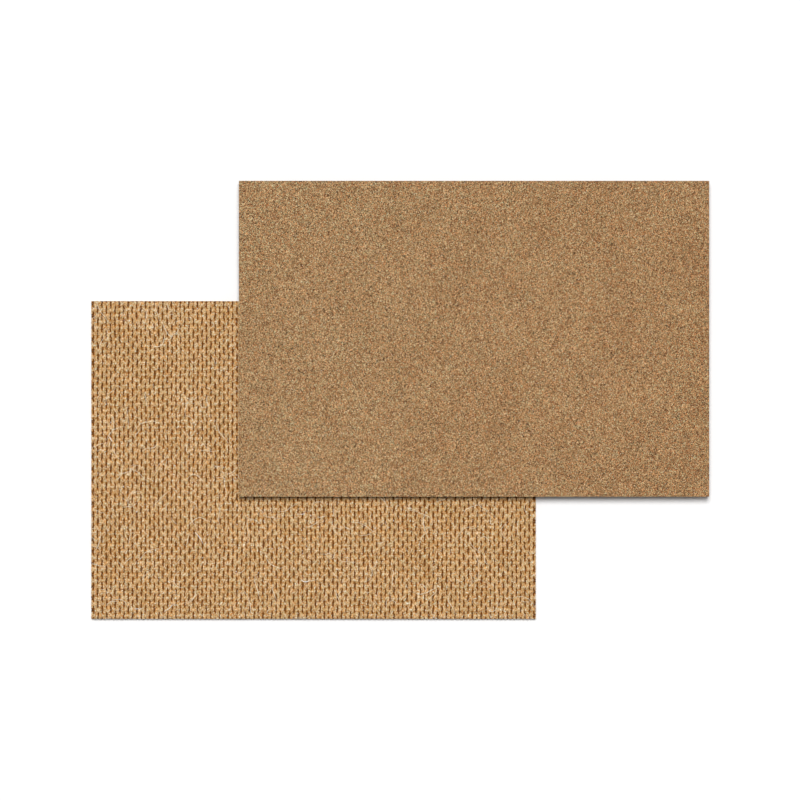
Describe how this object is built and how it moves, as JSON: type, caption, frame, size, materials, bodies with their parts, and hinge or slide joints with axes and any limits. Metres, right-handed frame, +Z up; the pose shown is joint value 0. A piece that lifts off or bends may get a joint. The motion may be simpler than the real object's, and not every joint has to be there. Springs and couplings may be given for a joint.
{
  "type": "door mat",
  "caption": "Layered rectangular door mat: a dense short-pile coir mat lies loose and offset on a coarse woven coir base mat with a non-slip latex underside.",
  "frame": {"origin": "middle of the whole footprint of both layers, on the floor", "axes": "+X along the mats' long sides, towards the end where the pile mat lies; +Y towards the long side where the pile mat lies; +Z up out of the pile"},
  "size_m": [0.789, 0.5592, 0.023],
  "materials": {
    "latex": "matt natural latex, finely pitted",
    "weft_yarn": "hard two-ply coir yarn, darker than the warps",
    "warp_yarn": "flat, hairy, bleached coir yarn",
    "coir_pile": "sheared short coir pile, tips in every direction"
  },
  "bodies": {
    "base_mat": {"base_latex_backing": "latex", "base_weft_yarns": "weft_yarn", "base_warp_yarns_odd": "warp_yarn", "base_warp_yarns_even": "warp_yarn"},
    "pile_mat": {"top_warp_yarns_odd": "warp_yarn", "top_warp_yarns_even": "warp_yarn", "top_weft_yarns": "weft_yarn", "top_coir_pile": "coir_pile"}
  },
  "joints": [
    {"name": "mat_slide", "type": "slide", "parent": "base_mat", "child": "pile_mat", "axis": [-0.7982, -0.6024, 0], "range_m": [0, 0.2568]}
  ]
}
